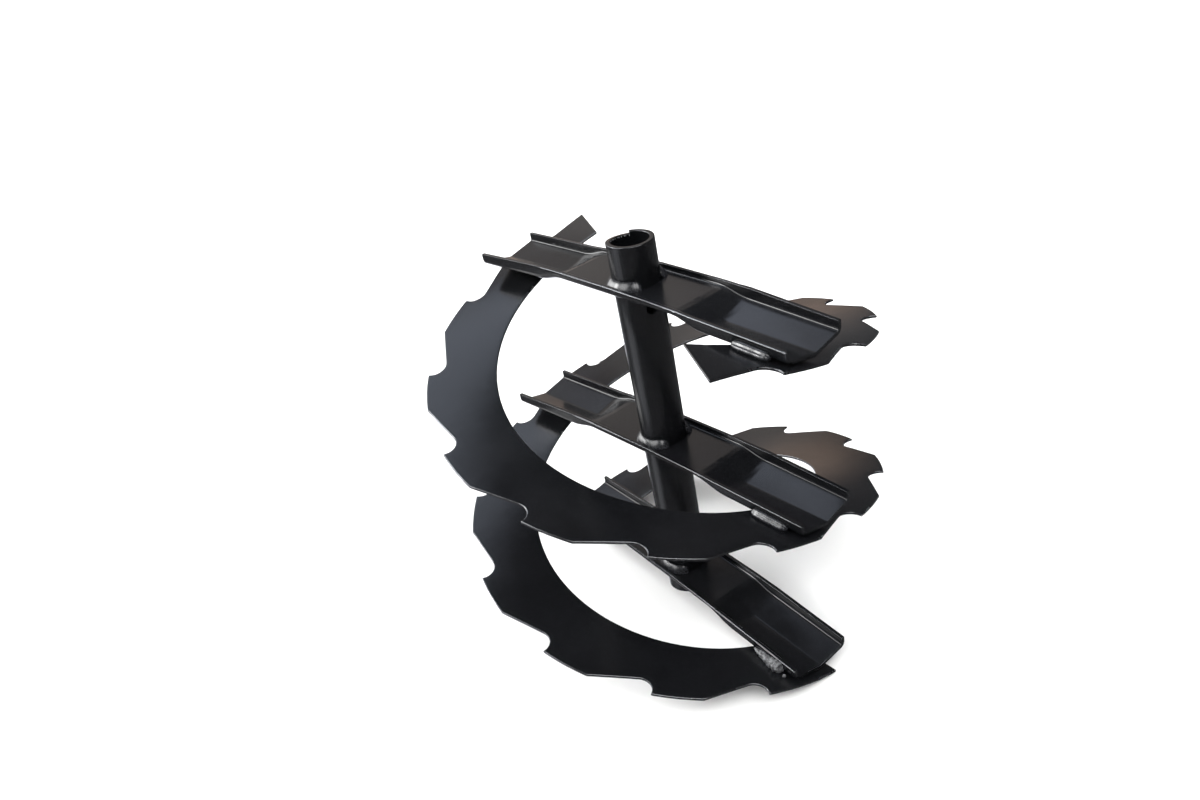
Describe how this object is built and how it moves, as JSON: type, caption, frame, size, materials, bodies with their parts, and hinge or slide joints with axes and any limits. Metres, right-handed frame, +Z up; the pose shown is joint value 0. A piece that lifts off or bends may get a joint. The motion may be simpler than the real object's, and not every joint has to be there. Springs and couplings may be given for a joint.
{
  "type": "snow blower auger",
  "caption": "Welded snow blower auger: toothed left-hand ribbon flights carried on pressed channel arms round a central shaft tube.",
  "frame": {"origin": "on the tube axis, in the plane of the tube's lower end and the flights' lower ends", "axes": "+Z up the tube axis to the end with the cross hole, +X along the middle arm, +Y away from the picture's viewer"},
  "size_m": [0.3048, 0.3046, 0.282],
  "materials": {
    "black_paint": "satin black paint",
    "weld_bead": "satin black paint over a rippled bead"
  },
  "bodies": {
    "root": {"auger_tube": "black_paint", "right_flight": "black_paint", "left_flight": "black_paint", "top_arm": "black_paint", "top_arm_back_bead": "weld_bead", "top_arm_front_bead": "weld_bead", "top_arm_right_bead": "weld_bead", "top_arm_left_bead": "weld_bead", "middle_arm": "black_paint", "middle_arm_back_bead": "weld_bead", "middle_arm_front_bead": "weld_bead", "middle_arm_right_bead": "weld_bead", "middle_arm_left_bead": "weld_bead", "bottom_arm": "black_paint", "bottom_arm_back_bead": "weld_bead", "bottom_arm_front_bead": "weld_bead", "bottom_arm_right_bead": "weld_bead", "bottom_arm_left_bead": "weld_bead"}
  },
  "joints": []
}
